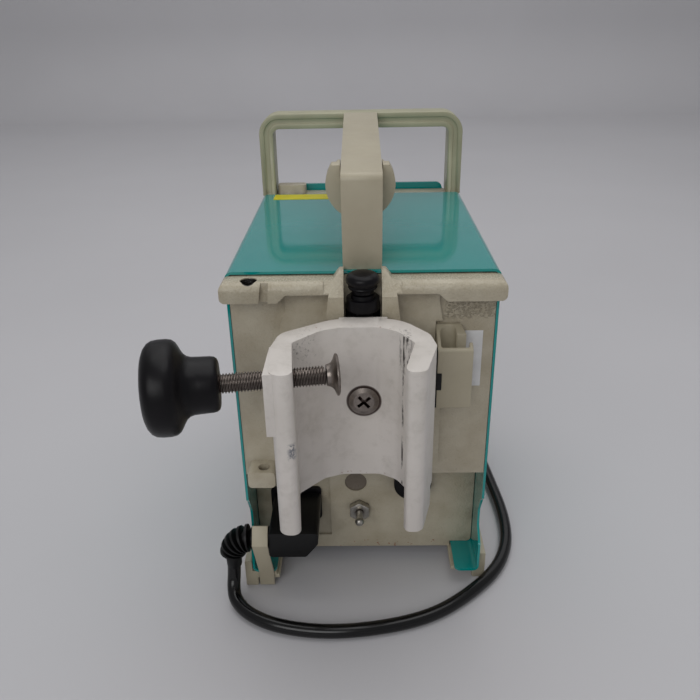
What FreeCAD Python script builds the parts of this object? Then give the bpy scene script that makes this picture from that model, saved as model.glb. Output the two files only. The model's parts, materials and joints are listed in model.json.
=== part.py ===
import FreeCAD, Part
import math
import os
import Sketcher
from FreeCAD import Placement, Rotation, Vector

# A bench-top peristaltic pump with a swivelling pole clamp on its rear.
# Frame: +Z up from the floor, -Y is the rear (clamp) side, +Y the operator's side,
# X to the right when the rear is looked at.  The origin is under the middle of the cover.

SIZES = {
    # sheet-metal cover
    "cover_width": 152, "cover_depth": 178, "cover_top": 226, "cover_bottom": 12,
    "sheet": 1.5, "bend": 4, "flange_inner": 60,
    # rear casting
    "cast_half": 74.2, "cast_wall": 3, "bar_half": 77.4, "bar_reach": 13.5,
    "bar_low": 212.6, "bar_top": 223.8, "bar_middle_low": 217.1,
    "step_low": 92, "recess": 30, "plate_thick": 3, "rod_x": -61.6, "rod_y": -96.2,
    "rod_hole": 4.6, "lug_low": 91.5, "lug_top": 102.5, "channel_half": 10.3,
    # base and rails
    "base_low": 9.5, "base_top": 13.8, "base_half": 59.5, "rail_outer": 81.5,
    "rail_inner": 73, "rail_lip": 21,
    "left_rail_rear": -88.8, "right_rail_rear": -82, "rail_front": 86,
    # front casting, fascia and handles
    "front_depth": 21.7, "front_top": 224, "fascia_half": 67, "fascia_top": 229, "lug_hole": 3.5,
    "fascia_thick": 3, "handle_half": 76.2, "handle_top": 284.6, "handle_bar": 10.7,
    "handle_leg": 10.4, "handle_rear": 93, "handle_depth": 20,
    "arm_half": 11, "arm_leg_depth": 14, "arm_rear_top": 278, "arm_thick": 11,
    "disc_radius": 19.4, "disc_z": 267,
    # swivelling pole clamp
    "pivot_z": 161.8, "jaw_back": -108, "jaw_low": 113.7, "jaw_top": 205.7,
    "pivot_shank": 4, "pivot_head": 8.3, "pivot_gap": 0.05, "index_radius": 34,
    "screw_radius": 5, "screw_z": 193, "screw_tilt": 8.5, "knob_radius": 23.5,
    # lock plunger
    "plunger_y": -98.3, "plunger_radius": 9.1, "pin_radius": 2.5,
    # mains inlet, plug and cord
    "inlet_x": -47, "inlet_z": 47.5, "cord_radius": 4.4, "boot_y": -95,
    # pump head and drive train
    "head_x": -26, "head_z": 86, "track_radius": 27.5, "roller_orbit": 17.5,
    "roller_radius": 6.5, "shaft_radius": 4, "gear_teeth": 48, "pinion_teeth": 12,
    "gear_module": 1,
}

doc = FreeCAD.newDocument("PeristalticPump")
sheet = doc.addObject("Spreadsheet::Sheet", "Sizes")
for row, (alias, number) in enumerate(SIZES.items(), 1):
    sheet.set(f"A{row}", alias)
    sheet.set(f"B{row}", str(number))
    sheet.setAlias(f"B{row}", alias)
doc.recompute()


class Size:
    """The sheet's numbers, read by name."""
    def __getattr__(self, alias):
        return float(sheet.get(alias))


size = Size()
REAR = -size.cover_depth / 2
FRONT = size.cover_depth / 2
RECESS_Y = REAR + size.recess
nodes = []


# ---------------------------------------------------------------- helpers
def formula(text):
    """Write the sheet's name before each alias of an expression."""
    words = []
    word = ""
    for sign in str(text) + " ":
        if sign.isalnum() or sign in "_.":
            word += sign
        else:
            words.append("Sizes." + word if word in SIZES else word)
            words.append(sign)
            word = ""
    return "".join(words).strip()


def bind(thing, **values):
    for name, text in values.items():
        thing.setExpression(name, formula(text))


def place(thing, x=0, y=0, z=0, rotation=None):
    """Set where a primitive stands; its coordinates stay bound to the sheet."""
    if rotation:
        thing.Placement = Placement(Vector(), rotation)
    for axis, text in (("x", x), ("y", y), ("z", z)):
        thing.setExpression(".Placement.Base." + axis, formula(text))
    return thing


def box(name, x, y, z):
    """A block between two limits along each axis."""
    block = doc.addObject("Part::Box", name)
    spans = [f"({high}) - ({low})" for low, high in (x, y, z)]
    bind(block, Length=spans[0], Width=spans[1], Height=spans[2])
    return place(block, x[0], y[0], z[0])


ALONG = {
    "x": Rotation(Vector(0, 1, 0), 90),
    "y": Rotation(Vector(1, 0, 0), -90),
    "z": Rotation(),
}


def spot(axis, across, start):
    """Where a round piece along one axis begins."""
    first, second = across
    return {"x": (start, first, second), "y": (first, start, second),
            "z": (first, second, start)}[axis]


def rod(name, axis, across, span, radius):
    """A cylinder along X, Y or Z between two limits."""
    cylinder = doc.addObject("Part::Cylinder", name)
    bind(cylinder, Radius=radius, Height=f"({span[1]}) - ({span[0]})")
    return place(cylinder, *spot(axis, across, span[0]), ALONG[axis])


def cone(name, axis, across, span, radius, end_radius):
    taper = doc.addObject("Part::Cone", name)
    bind(taper, Radius1=radius, Radius2=end_radius, Height=f"({span[1]}) - ({span[0]})")
    return place(taper, *spot(axis, across, span[0]), ALONG[axis])


def ball(name, centre, radius):
    sphere = doc.addObject("Part::Sphere", name)
    bind(sphere, Radius=radius)
    return place(sphere, *centre)


def fuse(name, *pieces):
    if len(pieces) == 1:
        return pieces[0]
    joined = doc.addObject("Part::MultiFuse", name)
    joined.Shapes = list(pieces)
    return joined


def common(name, *pieces):
    shared = doc.addObject("Part::MultiCommon", name)
    shared.Shapes = list(pieces)
    return shared


def cut(name, base, *tools):
    result = doc.addObject("Part::Cut", name)
    result.Base = base
    result.Tool = fuse(name + "_tools", *tools)
    return result


def group(name, *pieces):
    """Separate solids that share one node."""
    gathered = doc.addObject("Part::Compound", name)
    gathered.Links = list(pieces)
    return gathered


def keep(label, thing):
    thing.Label = label
    nodes.append(thing)
    return thing


def rounded(points):
    """Edges of a closed outline whose corners (x, y, radius) are rounded."""
    corners = []
    count = len(points)
    for i, (x, y, radius) in enumerate(points):
        here = Vector(x, y, 0)
        before = Vector(*points[i - 1][:2], 0)
        after = Vector(*points[(i + 1) % count][:2], 0)
        back = (before - here).normalize()
        ahead = (after - here).normalize()
        half = back.getAngle(ahead) / 2
        if radius == 0 or abs(half - math.pi / 2) < 1e-4:
            corners.append((here, None, here))
            continue
        reach = radius / math.tan(half)
        centre = here + (back + ahead).normalize() * (radius / math.sin(half))
        middle = centre + (here - centre).normalize() * radius
        corners.append((here + back * reach, middle, here + ahead * reach))
    edges = []
    for i, (start, middle, end) in enumerate(corners):
        if middle:
            edges.append(Part.Arc(start, middle, end))
        following = corners[(i + 1) % count][0]
        if (following - end).Length > 1e-6:
            edges.append(Part.LineSegment(end, following))
    return edges


PLANES = {"x": "YZ_Plane", "y": "XZ_Plane", "z": "XY_Plane"}


def sketch(body, axis, at, outlines, circles):
    """A sketch across one axis: outlines of corners, and circles (x, y, radius)."""
    drawing = body.newObject("Sketcher::SketchObject", body.Name + "_sketch")
    plane = [f for f in body.Origin.OriginFeatures if f.Role == PLANES[axis]][0]
    drawing.AttachmentSupport = (plane, [""])
    drawing.MapMode = "FlatFace"
    sign = "-" if axis == "y" else ""
    drawing.setExpression(".AttachmentOffset.Base.z", formula(f"{sign}({at})"))
    for outline in outlines:
        first = drawing.GeometryCount
        edges = rounded([(*point, 0)[:3] for point in outline])
        drawing.addGeometry(edges, False)
        for i in range(len(edges)):
            following = first + (i + 1) % len(edges)
            drawing.addConstraint(Sketcher.Constraint("Coincident", first + i, end_point(
                drawing, first + i, following), following, start_point(drawing, first + i, following)))
    for x, y, radius in circles:
        drawing.addGeometry(Part.Circle(Vector(x, y, 0), Vector(0, 0, 1), radius), False)
    return drawing


def touching(drawing, here, following):
    """Which ends of two neighbouring edges meet, as Sketcher numbers them."""
    best = None
    for mine in (1, 2):
        for other in (1, 2):
            gap = (drawing.getPoint(here, mine) - drawing.getPoint(following, other)).Length
            if best is None or gap < best[0]:
                best = (gap, mine, other)
    return best


def end_point(drawing, here, following):
    return touching(drawing, here, following)[1]


def start_point(drawing, here, following):
    return touching(drawing, here, following)[2]


def body(name):
    return doc.addObject("PartDesign::Body", name)


def pad(solid, axis, span, *outlines, circles=()):
    """Add material between two limits along one axis."""
    low, high = span
    at = high if axis == "y" else low
    feature = solid.newObject("PartDesign::Pad", solid.Name + "_pad")
    feature.Profile = sketch(solid, axis, at, outlines, circles)
    bind(feature, Length=f"({high}) - ({low})")
    return feature


def pocket(solid, axis, span, *outlines, circles=()):
    """Take material away between two limits along one axis."""
    low, high = span
    at = high if axis == "y" else low
    feature = solid.newObject("PartDesign::Pocket", solid.Name + "_pocket")
    feature.Profile = sketch(solid, axis, at, outlines, circles)
    feature.Reversed = True
    bind(feature, Length=f"({high}) - ({low})")
    return feature


def rectangle(x0, x1, y0, y1, radius=0):
    return [(x0, y0, radius), (x1, y0, radius), (x1, y1, radius), (x0, y1, radius)]


def mirrored(outline):
    return [(-x, y, *rest) for x, y, *rest in reversed(outline)]


def strip(points, thickness):
    """Outline of a bent strip of sheet that follows a line of points on its left side."""
    offset = []
    for i, point in enumerate(points):
        here = Vector(*point, 0)
        normals = []
        for first, second in ((i - 1, i), (i, i + 1)):
            if first < 0 or second >= len(points):
                continue
            run = (Vector(*points[second], 0) - Vector(*points[first], 0)).normalize()
            normals.append(Vector(-run.y, run.x, 0))
        lean = sum(normals[1:], normals[0]).normalize()
        far = here + lean * (thickness / lean.dot(normals[0]))
        offset.append((far.x, far.y))
    return list(points) + offset[::-1]


# ---------------------------------------------------------------- cover and frame
def cover_shell():
    half = size.cover_width / 2
    top, low, thin, bend = size.cover_top, size.cover_bottom, size.sheet, size.bend
    inner = bend - thin
    outline = [
        (-half, low, bend), (-half, top, bend), (half, top, bend), (half, low, bend),
        (size.flange_inner, low), (size.flange_inner, low + thin),
        (half - thin, low + thin, inner), (half - thin, top - thin, inner),
        (-half + thin, top - thin, inner), (-half + thin, low + thin, inner),
        (-size.flange_inner, low + thin), (-size.flange_inner, low),
    ]
    shell = body("cover_shell")
    pad(shell, "y", ("-cover_depth / 2", "cover_depth / 2"), outline)
    inner = size.flange_inner
    corner = [(inner - 1, REAR - 1), (inner + 4, REAR - 1), (inner + 4, REAR), (inner, REAR, 4),
              (inner, REAR + 4), (inner - 1, REAR + 4)]
    pocket(shell, "z", ("cover_bottom - 1", "cover_bottom + sheet + 1"), corner, mirrored(corner))
    scallop = [(REAR - 1, 74), (REAR, 74, 12), (REAR + 10, 56, 8), (REAR + 10, 44, 6),
               (REAR, 34, 4), (REAR - 1, 34)]
    pocket(shell, "x", ("-cover_width", "cover_width"), scallop)
    return keep("cover_shell", shell)


def rear_casting():
    bar_rear = REAR - size.bar_reach
    half, bar = size.cast_half, size.bar_half
    casting = body("rear_casting")
    pad(casting, "y", ("-cover_depth / 2", "-cover_depth / 2 + cast_wall"),
        rectangle(-half, half, size.step_low, size.bar_top, 2))
    pad(casting, "y", ("-cover_depth / 2 - bar_reach", "-cover_depth / 2"),
        [(-bar, size.bar_low, 3), (-46.4, size.bar_low, 1.5), (-41.6, size.bar_middle_low, 1.5),
         (40.6, size.bar_middle_low, 1.5), (45.6, size.bar_low, 1.5), (bar, size.bar_low, 3),
         (bar, size.bar_top, 4), (-bar, size.bar_top, 4)])
    pad(casting, "y", ("-cover_depth / 2 - plate_thick", "-cover_depth / 2"),
        [(-47, 98, 4), (45, 98, 4), (45, 147), (40.7, 147), (40.7, 197), (44.6, 197), (42.4, 209, 4),
         (42.4, size.bar_top - 1),
         (-43.2, size.bar_top - 1), (-43.2, 203, 12), (-47, 194, 12)])
    pad(casting, "y", ("-cover_depth / 2 - bar_reach", "-cover_depth / 2"),
        rectangle(-71, -54.5, size.lug_low, size.lug_top, 2.5))
    inner, outer = size.channel_half, 21
    rib = [(inner, 196), (outer, 196, 3), (18.6, 216, 6), (17, 222.5, 4), (12.6, 228.4, 1.5), (inner, 228.4)]
    pad(casting, "y", ("-cover_depth / 2 - 15", "-cover_depth / 2"), rib, mirrored(rib))
    pad(casting, "y", ("-cover_depth / 2", "-cover_depth / 2 + recess"),
        rectangle(-half, half, size.step_low, size.step_low + size.cast_wall))
    pad(casting, "y", ("-cover_depth / 2 + recess", "-cover_depth / 2 + recess + cast_wall"),
        [(-half, size.base_top, 3), (half, size.base_top, 3), (half, size.step_low + size.cast_wall),
         (-half, size.step_low + size.cast_wall)])
    pad(casting, "y", ("-cover_depth / 2 + recess - 2", "-cover_depth / 2 + recess"),
        [(-23.6, size.base_top), (half, size.base_top, 3), (half, size.step_low + 1),
         (-23.6, size.step_low + 1)])
    pad(casting, "y", ("-cover_depth / 2 + recess - 2", "-cover_depth / 2 + recess"),
        rectangle(-size.base_half, size.base_half, size.base_low, 20, 0.6))
    pocket(casting, "y", ("-cover_depth / 2 - 16", "-cover_depth / 2"),
           rectangle(-inner, inner, 196, size.bar_top + 1))
    groove = [(-56.4, size.bar_low - 1), (-51.4, size.bar_low - 1), (-50.4, size.bar_top + 1),
              (-54.6, size.bar_top + 1)]
    pocket(casting, "y", ("-cover_depth / 2 - bar_reach - 1", "-cover_depth / 2 - bar_reach + 3"), groove)
    roll = 5
    corner = [(bar_rear - 1, size.bar_top + 1), (bar_rear - 1, size.bar_top - roll),
              (bar_rear, size.bar_top - roll), (bar_rear, size.bar_top, roll),
              (bar_rear + roll, size.bar_top), (bar_rear + roll, size.bar_top + 1)]
    pocket(casting, "x", ("-bar_half - 1", "-17.8"), corner)
    pocket(casting, "x", ("17.8", "bar_half + 1"), corner)
    slope = [(REAR - 16, 215), (REAR - 4, 230), (REAR - 16, 230)]
    pocket(casting, "x", ("-21.2", "21.2"), slope)
    pocket(casting, "z", ("bar_low - 1", "bar_top + 1"),
           circles=[(size.rod_x, size.rod_y, size.rod_hole)])
    pocket(casting, "z", ("lug_low - 1", "lug_top + 1"),
           circles=[(size.rod_x, size.rod_y, size.lug_hole)])
    pocket(casting, "y", ("-cover_depth / 2 + recess - 3", "-cover_depth / 2 + recess - 0.8"),
           circles=[(-6, 65, 7.4)])
    pocket(casting, "y", ("-cover_depth / 2 - plate_thick - 1", "-cover_depth / 2 + cast_wall + 1"),
           circles=[(0, size.pivot_z, size.pivot_shank)])
    pocket(casting, "y", ("-cover_depth / 2 + recess - 3", "-cover_depth / 2 + recess + cast_wall + 1"),
           rectangle(size.inlet_x - 14.4, size.inlet_x + 14.4, size.inlet_z - 10.9, size.inlet_z + 10.9, 1),
           circles=[(-3.7, 43, 2.4), (32, 68, 7.5)])
    return keep("rear_casting", casting)


def base_plate():
    plate = body("base_plate")
    outline = rectangle(-size.base_half, size.base_half, RECESS_Y, FRONT - 0.6, 3)
    pad(plate, "z", ("base_low", "base_top"), outline)
    vents = [rectangle(x - 2, x + 2, 20, 60, 1.9) for x in (-24, -12, 0, 12, 24)]
    pocket(plate, "z", ("base_low - 1", "base_top + 1"), *vents)
    return keep("base_plate", plate)


def foot_rail(side, sign):
    outer, inner, lip = size.rail_outer, size.rail_inner, size.rail_lip
    wall = size.cover_width / 2
    outline = [
        (inner, 0, 1), (outer, 0, 1), (outer, lip, 1.5), (wall + 0.5, lip, 1.5),
        (wall + 0.5, size.cover_bottom - 0.2), (size.flange_inner + 0.2, size.cover_bottom - 0.2),
        (size.flange_inner + 0.2, size.base_low), (58.3, size.base_low), (58.3, 6.5), (inner, 6.5),
    ]
    rail = body(side + "_foot_rail")
    pad(rail, "y", (side + "_rail_rear", "rail_front"), outline if sign > 0 else mirrored(outline))
    return keep(side + "_foot_rail", rail)


def front_casting():
    half, top, low = size.bar_half, size.front_top, size.base_low
    casting = body("front_casting")
    deep = ("cover_depth / 2 + 0.3", "cover_depth / 2 + front_depth")
    pad(casting, "y", deep, rectangle(-half, half, low, top, 6))
    pocket(casting, "y", ("cover_depth / 2 - 1", "cover_depth / 2 + front_depth - 3"),
           rectangle(-half + 3, half - 3, low + 3, top - 3, 3))
    pocket(casting, "y", ("cover_depth / 2", "cover_depth / 2 + front_depth + 1"),
           rectangle(-44, 44, 148, 206, 3), circles=[(size.head_x, size.head_z, 11)])
    guide = rectangle(-64.6, -43, FRONT + 6, FRONT + 16, 3)
    pad(casting, "z", ("front_top - 1", "front_top + 7.5"), guide)
    return keep("front_casting", casting)


def front_fascia():
    half, top = size.fascia_half, size.fascia_top
    fascia = body("front_fascia")
    depth = ("cover_depth / 2 + front_depth", "cover_depth / 2 + front_depth + fascia_thick")
    neck = half - 2.8
    shoulder = size.front_top - 0.5
    pad(fascia, "y", depth,
        [(-half, 16, 8), (half, 16, 8), (half, shoulder, 2), (neck, shoulder), (neck, top, 5),
         (-neck, top, 5), (-neck, shoulder), (-half, shoulder, 2)])
    through = ("cover_depth / 2 + front_depth - 1", "cover_depth / 2 + front_depth + fascia_thick + 1")
    pocket(fascia, "y", through, rectangle(-44, 44, 148, 206, 3),
           *[rectangle(x - 7.3, x + 7.3, z - 5.3, z + 5.3, 2) for x, z in KEYS.values()],
           circles=[(size.head_x, size.head_z, 11)])
    return keep("front_fascia", fascia)


KEYS = {"start_key": (48, 120), "stop_key": (48, 100), "up_key": (48, 80), "down_key": (48, 60)}


def front_handle():
    half, top, leg, bar = size.handle_half, size.handle_top, size.handle_leg, size.handle_bar
    foot = size.front_top
    outline = [
        (-half, foot), (-half, top, 15), (half, top, 15), (half, foot), (half - leg, foot),
        (half - leg, top - bar, 5), (-half + leg, top - bar, 5), (-half + leg, foot),
    ]
    handle = body("front_handle")
    pad(handle, "y", ("handle_rear", "handle_rear + handle_depth"), outline)
    near, wide = 3.6, 3.4
    groove = [
        (-half + near, foot + 1), (-half + near, top - near, 11.4), (half - near, top - near, 11.4),
        (half - near, foot + 1), (half - near - wide, foot + 1),
        (half - near - wide, top - near - wide, 8), (-half + near + wide, top - near - wide, 8),
        (-half + near + wide, foot + 1),
    ]
    pocket(handle, "y", ("handle_rear - 1", "handle_rear + 1"), groove)
    return keep("front_handle", handle)


def top_handle():
    """A leg on the cover's rear edge and an arm that rises gently to the front handle."""
    leg_rear, leg_front = REAR + 2, REAR + 2 + size.arm_leg_depth
    rise = size.handle_top + 0.4
    profile = [
        (leg_rear, size.cover_top + 0.1), (leg_rear, size.arm_rear_top, 4),
        (size.handle_rear, rise), (size.handle_rear, rise - size.arm_thick),
        (leg_front, size.arm_rear_top - size.arm_thick + 0.6, 5), (leg_front, size.cover_top + 0.1),
    ]
    side = body("top_handle_side")
    pad(side, "x", ("-arm_half - 2", "arm_half + 2"), profile)
    plan = body("top_handle_plan")
    taper = [(-size.arm_half, leg_rear - 2), (size.arm_half, leg_rear - 2),
             (size.arm_half + 1.2, size.handle_rear + 2), (-size.arm_half - 1.2, size.handle_rear + 2)]
    pad(plan, "z", ("cover_top - 2", "handle_top + 2"), taper)
    rear = body("top_handle_rear")
    knee = size.arm_rear_top - size.arm_thick
    view = [(-10.7, size.cover_top - 2), (10.7, size.cover_top - 2), (size.arm_half, knee),
            (15, knee + 2), (15, size.handle_top + 3), (-15, size.handle_top + 3), (-15, knee + 2),
            (-size.arm_half, knee)]
    pad(rear, "y", ("-cover_depth / 2 - 2", "handle_rear + 2"), view)
    return keep("top_handle", common("top_handle", side, plan, rear))


def handle_disc():
    """A flat-topped disc that hugs the arm just in front of its leg."""
    across = ("-0.6", "disc_z")
    large = rod("disc_large", "y", across, ("-64", "-54"), "disc_radius")
    small = rod("disc_small", "y", across, ("-54", "-48"), "disc_radius - 2.6")
    flat = box("disc_flat", ("-30", "30"), ("-70", "-40"), ("disc_z + 11", "disc_z + 30"))
    arm = box("disc_arm", ("-arm_half - 0.7", "arm_half + 0.7"), ("-70", "-40"),
              ("arm_rear_top - arm_thick + 0.3", "handle_top"))
    return keep("handle_disc", cut("handle_disc", fuse("disc_solid", large, small), flat, arm))


# ---------------------------------------------------------------- pole clamp
def jaw_outline():
    back = size.jaw_back
    local = [
        (-16, 0, 22), (-43, 18, 12), (-46.3, 36, 22), (-43.5, 64.5, 5.6), (-32.6, 64.5, 4.2),
        (-35.8, 29.5, 3), (-22.5, 15.5, 10), (-12, 11.6, 14), (8.5, 11.6, 12), (18, 17.5, 10),
        (25.6, 31, 3), (19.6, 58, 3), (20.9, 62.4, 3), (28.8, 62.4, 5), (36.2, 34.5, 9),
        (34, 21, 12), (19, 0, 22),
    ]
    return [(x, back - deep, *rest) for x, deep, *rest in local]


def screw_way():
    """Start point and direction of the clamp screw: from its pressure pad out to its knob."""
    tilt = math.radians(size.screw_tilt)
    return Vector(-12.4, -147.5, size.screw_z), Vector(-math.cos(tilt), -math.sin(tilt), 0)


def screw_rod(name, start, end, radius, end_radius=None):
    """A round piece on the clamp screw's axis."""
    origin, way = screw_way()
    turned = Rotation(Vector(0, 0, 1), way)
    kind = "Part::Cone" if end_radius else "Part::Cylinder"
    piece = doc.addObject(kind, name)
    piece.Placement = Placement(origin + way * start, turned)
    if end_radius:
        bind(piece, Radius1=radius, Radius2=end_radius, Height=str(end - start))
    else:
        bind(piece, Radius=radius, Height=str(end - start))
    piece.setExpression(".Placement.Base.z", "Sizes.screw_z")
    return piece


def clamp_jaw():
    jaw = body("clamp_extrusion")
    pad(jaw, "z", ("jaw_low", "jaw_top"), jaw_outline())
    pad(jaw, "z", ("pivot_z - 36", "jaw_top"), rectangle(-13, 13, size.jaw_back, size.jaw_back + 2))
    boss = box("clamp_boss", ("-46.6", "-42"), ("-171", "-141"), ("172", "jaw_top - 0.5"))
    step = box("clamp_step", ("34.7", "40"), ("-165", "-120"), ("jaw_low - 1", "126"))
    bore = rod("clamp_bore", "y", ("0", "pivot_z"), ("jaw_back - 20", "jaw_back + 5"),
               "pivot_shank + pivot_gap")
    seat = cone("clamp_seat", "y", ("0", "pivot_z"), ("jaw_back - 12.5", "jaw_back - 7.53"),
                "pivot_head + 0.72", "pivot_shank + pivot_gap")
    mouth = rod("clamp_mouth", "y", ("0", "pivot_z"), ("jaw_back - 18", "jaw_back - 12.4"),
                "pivot_head + 0.72")
    thread = screw_rod("clamp_thread_hole", 14, 60, "screw_radius + 0.08")
    blank = fuse("clamp_blank", jaw, boss)
    return keep("clamp_jaw", cut("clamp_jaw", blank, step, bore, seat, mouth, thread))


def swivel_plate():
    """Round plate behind the jaw, with four notches for the lock pin."""
    way = ("0", "pivot_z")
    disc = rod("swivel_disc", "y", way, ("-102.6", "-94"), "index_radius")
    boss = rod("swivel_boss", "y", way, ("jaw_back + 2", "-102.6"), "20")
    bore = rod("swivel_bore", "y", way, ("-107", "-93"), "pivot_shank + pivot_gap")
    notches = [
        rod("swivel_notch_up", "z", ("0", "plunger_y"), ("pivot_z + 28", "pivot_z + 36"), "2.8"),
        rod("swivel_notch_down", "z", ("0", "plunger_y"), ("pivot_z - 36", "pivot_z - 28"), "2.8"),
        rod("swivel_notch_left", "x", ("plunger_y", "pivot_z"), ("-36", "-28"), "2.8"),
        rod("swivel_notch_right", "x", ("plunger_y", "pivot_z"), ("28", "36"), "2.8"),
    ]
    return keep("swivel_plate", cut("swivel_plate", fuse("swivel_solid", disc, boss), bore, *notches))


def swivel_washer():
    way = ("0", "pivot_z")
    ring = rod("washer_disc", "y", way, ("-93.9", "-92"), "15")
    bore = rod("washer_bore", "y", way, ("-94", "-91"), "pivot_shank")
    return keep("swivel_washer", cut("swivel_washer", ring, bore))


def pivot_screw():
    """Countersunk cross-head screw that the clamp turns on, with its nut inside the casting."""
    way = ("0", "pivot_z")
    head = cone("pivot_cone", "y", way, ("jaw_back - 12.2", "jaw_back - 7.9"),
                "pivot_head", "pivot_shank")
    dome = cone("pivot_dome", "y", way, ("jaw_back - 13.2", "jaw_back - 12.2"),
                "pivot_head - 2.6", "pivot_head")
    shank = rod("pivot_rod", "y", way, ("jaw_back - 7.9", "-86"), "pivot_shank")
    recess = body("pivot_recess")
    for turn in (40, 130):
        along, across = math.cos(math.radians(turn)), math.sin(math.radians(turn))
        blade = [(a * along - b * across, size.pivot_z + a * across + b * along)
                 for a, b in ((-4.4, -0.9), (4.4, -0.9), (4.4, 0.9), (-4.4, 0.9))]
        pad(recess, "y", ("jaw_back - 14", "jaw_back - 10.5"), blade)
    nut = rod("pivot_nut", "y", way, ("-86", "-80"), "7.5")
    screw = fuse("pivot_solid", head, dome, shank, nut)
    return keep("pivot_screw", cut("pivot_screw", screw, recess))


def clamp_screw():
    return keep("clamp_screw", screw_rod("clamp_screw", 6.2, 80, "screw_radius"))


def clamp_pad():
    """Flared pressure pad that swivels on the screw's end."""
    face = screw_rod("pad_face", 0, 1.6, "10.6")
    cup = screw_rod("pad_cup", 1.6, 6, "8.6", "5.8")
    return keep("clamp_pad", fuse("clamp_pad", face, cup))


def clamp_knob():
    hub = screw_rod("knob_hub", 58, 74, "13.8")
    neck = screw_rod("knob_neck", 74, 78, "14.2", "22.6")
    head = screw_rod("knob_head", 78, 88.5, "knob_radius")
    crown = screw_rod("knob_crown", 88.5, 94, "knob_radius", "17")
    hole = screw_rod("knob_hole", 56, 80, "screw_radius")
    return keep("clamp_knob", cut("clamp_knob", fuse("knob_solid", hub, neck, head, crown), hole))


# ---------------------------------------------------------------- lock plunger
def plunger(label, *rings):
    """Turned piece on the plunger's axis: rings of (low, high, radius)."""
    pieces = [rod(f"{label}_ring", "z", ("0", "plunger_y"), (low, high), radius)
              for low, high, radius in rings]
    return fuse(label + "_solid", *pieces)


def plunger_housing():
    solid = plunger("plunger_housing", ("207.8", "214.2", "plunger_radius"),
                    ("197.5", "207.8", "5.5"), ("214.2", "216.4", "6.6"))
    bracket = box("plunger_bracket", ("-9.6", "9.6"), ("-93.4", "-89"), ("198", "207.8"))
    bore = plunger("plunger_bore", ("190", "220", "pin_radius + 0.08"))
    return keep("plunger_housing", cut("plunger_housing", fuse("plunger_body", solid, bracket), bore))


def lock_pin():
    return keep("lock_pin", plunger("lock_pin", ("pivot_z + index_radius + 0.35", "224", "pin_radius")))


def pull_knob():
    solid = plunger("pull_knob", ("216.9", "219.4", "6"), ("219.4", "221.2", "7.9"),
                    ("221.2", "222.2", "7.1"))
    way = ("0", "plunger_y")
    rim = cone("pull_rim", "z", way, ("222.2", "225.1"), "8.2", "9.3")
    dome = cone("pull_dome", "z", way, ("225.1", "227.6"), "9.3", "6.4")
    cap = cone("pull_cap", "z", way, ("227.6", "229"), "6.4", "2.5")
    bore = plunger("pull_bore", ("216", "224", "pin_radius"))
    return keep("pull_knob", cut("pull_knob", fuse("pull_body", solid, rim, dome, cap), bore))


# ---------------------------------------------------------------- rear fittings
def sensor_pocket():
    """Open-topped holder with a slanted mouth, round back corners and a slot down its right side."""
    rear, front, low = -106.8, REAR, 148.5
    outline = [(rear, low, 1.5), (front, low), (front, 195, 1), (rear, 185.4, 1.5)]
    holder = body("sensor_pocket")
    pad(holder, "x", ("40.9", "60.4"), outline)
    hollow = [(42.9, rear + 2, 1), (58.4, rear + 2, 1), (58.4, -97), (51.8, -97, 1.2), (51.8, front - 2, 3),
              (42.9, front - 2, 5)]
    pocket(holder, "z", ("151", "200"), hollow)
    pocket(holder, "x", ("58", "61"), rectangle(-101.8, -97, 156, 200))
    pocket(holder, "z", ("140", "200"), [(57.6, -97), (62, -97), (62, front + 1), (54.4, front + 1)])
    return keep("sensor_pocket", holder)


def pocket_bumper():
    """Thin rubber strip between the holder and the clamp, with a tab on the holder's face."""
    edge = box("bumper_edge", ("40.1", "40.9"), ("-106.8", "-101"), ("149.5", "185"))
    tab = box("bumper_tab", ("40.1", "43.4"), ("-107.3", "-106.8"), ("161", "171.5"))
    return keep("pocket_bumper", fuse("pocket_bumper", edge, tab))


def rating_label():
    return keep("rating_label", box("rating_label", ("57.8", "68"), ("-89.25", "-89"), ("154", "189.5")))


def cover_label():
    return keep("cover_label", box("cover_label", ("-66", "-20"), ("72", "87"),
                                   ("cover_top", "cover_top + 0.25")))


def inlet_socket():
    x, z = size.inlet_x, size.inlet_z
    socket = body("inlet_socket")
    pad(socket, "y", ("-cover_depth / 2 + recess - 2.5", "-cover_depth / 2 + recess"),
        rectangle(x - 17.2, x + 17.2, z - 13.2, z + 13.2, 3))
    pad(socket, "y", ("-cover_depth / 2 + recess", "-cover_depth / 2 + recess + 18"),
        rectangle(x - 14.2, x + 14.2, z - 10.7, z + 10.7, 1))
    pocket(socket, "y", ("-cover_depth / 2 + recess - 5", "-cover_depth / 2 + recess + 14"),
           rectangle(x - 12.2, x + 12.2, z - 8.3, z + 8.3, 2))
    return keep("inlet_socket", socket)


def inlet_pins():
    blades = []
    for i, (x, z) in enumerate(((-7, -2), (0, 2), (7, -2))):
        across = (f"inlet_x + {x - 1}", f"inlet_x + {x + 1}")
        height = (f"inlet_z + {z - 2}", f"inlet_z + {z + 2}")
        blades.append(box(f"inlet_pin_{i}", across, ("-61", "-45"), height))
    return keep("inlet_pins", group("inlet_pins", *blades))


PLUG_LEFT = 14.6


def angle_plug():
    """Right-angled mains connector: nose in the inlet, cable leaving to the left."""
    x, z = size.inlet_x, size.inlet_z
    plug = body("angle_plug")
    pad(plug, "y", ("-104", "-61.6"),
        [(x - PLUG_LEFT, z - 9.3, 2), (x + 9, z - 9.3, 3), (x + 17, z + 1, 3), (x + 17, z + 9.3, 2.5),
         (x - PLUG_LEFT, z + 9.3, 2)])
    pad(plug, "y", ("-61.6", "-46.2"), rectangle(x - 11.9, x + 11.9, z - 8, z + 8, 2))
    slots = [rectangle(x + dx - 1.3, x + dx + 1.3, z + dz - 2.3, z + dz + 2.3)
             for dx, dz in ((-7, -2), (0, 2), (7, -2))]
    pocket(plug, "y", ("-61.5", "-46"), *slots)
    return keep("angle_plug", plug)


BOOT_BEND = 12


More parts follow.
